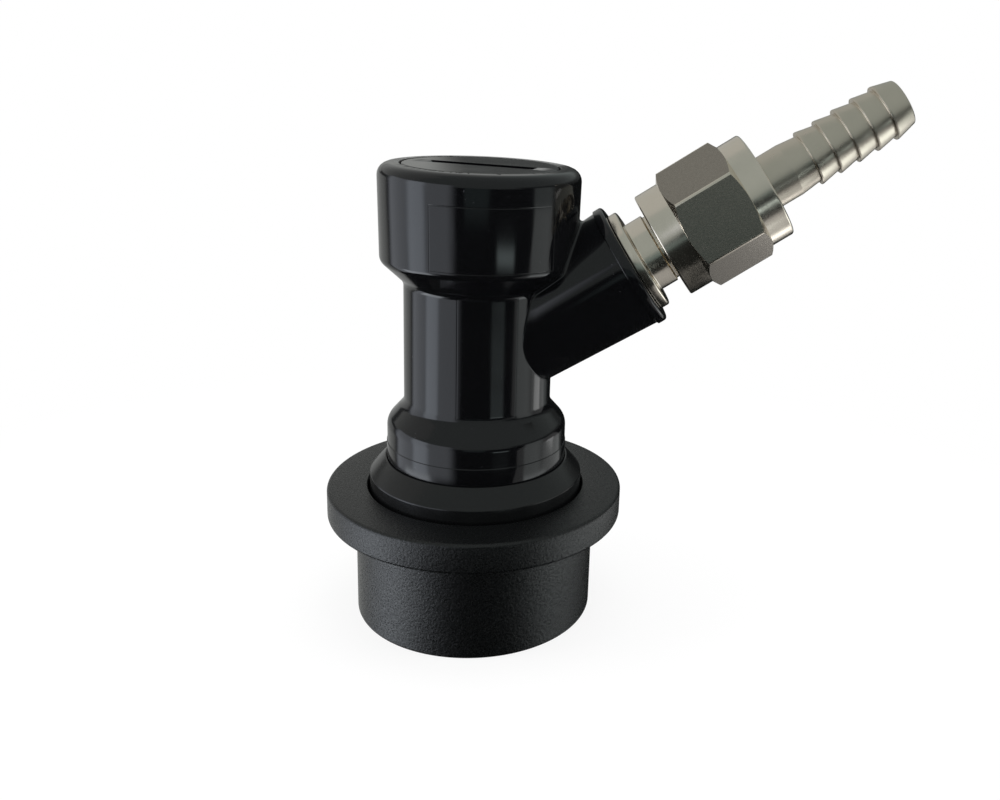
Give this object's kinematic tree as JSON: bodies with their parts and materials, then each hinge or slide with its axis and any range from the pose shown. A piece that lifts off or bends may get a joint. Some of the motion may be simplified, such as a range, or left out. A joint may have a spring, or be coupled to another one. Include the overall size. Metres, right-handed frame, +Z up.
{
  "type": "ball lock disconnect",
  "caption": "Quick disconnect with a sprung locking collar, ball lock socket, valve and threaded screw cap, and an angled arm that carries a swivel nut and hose barb.",
  "frame": {"origin": "centre of the collar's underside, on the axis of the keg post", "axes": "+Z up the body's axis, from the mouth to the cap; +X towards the side that the arm leans to; +Y by the right-hand rule"},
  "size_m": [0.0726, 0.0386, 0.0719],
  "materials": {
    "black_gloss": "moulded gloss",
    "black_satin": "moulded satin",
    "black_matte": "spark textured",
    "grey_plastic": "moulded",
    "white_nylon": "moulded",
    "seal_rubber": "matte",
    "spring_steel": "drawn wire",
    "ball_steel": "polished",
    "stainless": "turned"
  },
  "bodies": {
    "housing": {"body": "black_gloss", "spring_cup": "black_satin", "retaining_ring": "spring_steel", "flare_fitting": "stainless", "fitting_seal": "seal_rubber", "collar_spring": "spring_steel", "valve_spring": "spring_steel"},
    "collar": {"lock_collar": "black_matte"},
    "lock_ball_1": {"ball_1": "ball_steel"},
    "lock_ball_2": {"ball_2": "ball_steel"},
    "lock_ball_3": {"ball_3": "ball_steel"},
    "valve": {"valve_pin": "grey_plastic", "valve_seal": "seal_rubber"},
    "cap_ring": {"cap_seal": "seal_rubber"},
    "cap": {"top_cap": "black_gloss"},
    "washer": {"flare_washer": "white_nylon"},
    "nut": {"swivel_nut": "stainless"},
    "tail": {"barb_tail": "stainless"}
  },
  "joints": [
    {"name": "collar_lift", "type": "slide", "parent": "housing", "child": "collar", "axis": [0, 0, 1], "range_m": [0, 0.004], "stiffness_N_per_m": 1600, "springref_m": -0.004, "deforming": ["collar_spring"]},
    {"name": "valve_open", "type": "slide", "parent": "housing", "child": "valve", "axis": [0, 0, 1], "range_m": [0, 0.003], "stiffness_N_per_m": 600, "springref_m": -0.005, "deforming": ["valve_spring"]},
    {"name": "ball_1_release", "type": "slide", "parent": "housing", "child": "lock_ball_1", "axis": [-1, 0, 0], "range_m": [0, 0.00091]},
    {"name": "ball_2_release", "type": "slide", "parent": "housing", "child": "lock_ball_2", "axis": [0.5, -0.866, 0], "range_m": [0, 0.00091]},
    {"name": "ball_3_release", "type": "slide", "parent": "housing", "child": "lock_ball_3", "axis": [0.5, 0.866, 0], "range_m": [0, 0.00091]},
    {"name": "cap_rise", "type": "slide", "parent": "housing", "child": "cap_ring", "axis": [0, 0, 1], "range_m": [0, 0.007]},
    {"name": "cap_unscrew", "type": "hinge", "parent": "cap_ring", "child": "cap", "pos_m": [0, 0, 0.0573], "axis": [0, 0, 1], "range_deg": [0, 1440]},
    {"name": "nut_travel", "type": "slide", "parent": "housing", "child": "washer", "axis": [0.829, 0, 0.5592], "range_m": [0, 0.00635]},
    {"name": "nut_unscrew", "type": "hinge", "parent": "washer", "child": "nut", "pos_m": [0.02902, 0, 0.05417], "axis": [0.829, 0, 0.5592], "range_deg": [0, 1800]},
    {"name": "tail_swivel", "type": "hinge", "parent": "washer", "child": "tail", "pos_m": [0.03731, 0, 0.05976], "axis": [0.829, 0, 0.5592], "continuous": true}
  ],
  "couplings": [
    {"joint": "ball_1_release", "follows": "collar_lift", "ratio": 0.2275},
    {"joint": "ball_2_release", "follows": "collar_lift", "ratio": 0.2275},
    {"joint": "ball_3_release", "follows": "collar_lift", "ratio": 0.2275},
    {"joint": "cap_rise", "follows": "cap_unscrew", "m_per_rad": 0.0002785},
    {"joint": "nut_travel", "follows": "nut_unscrew", "m_per_rad": 0.0002021}
  ]
}
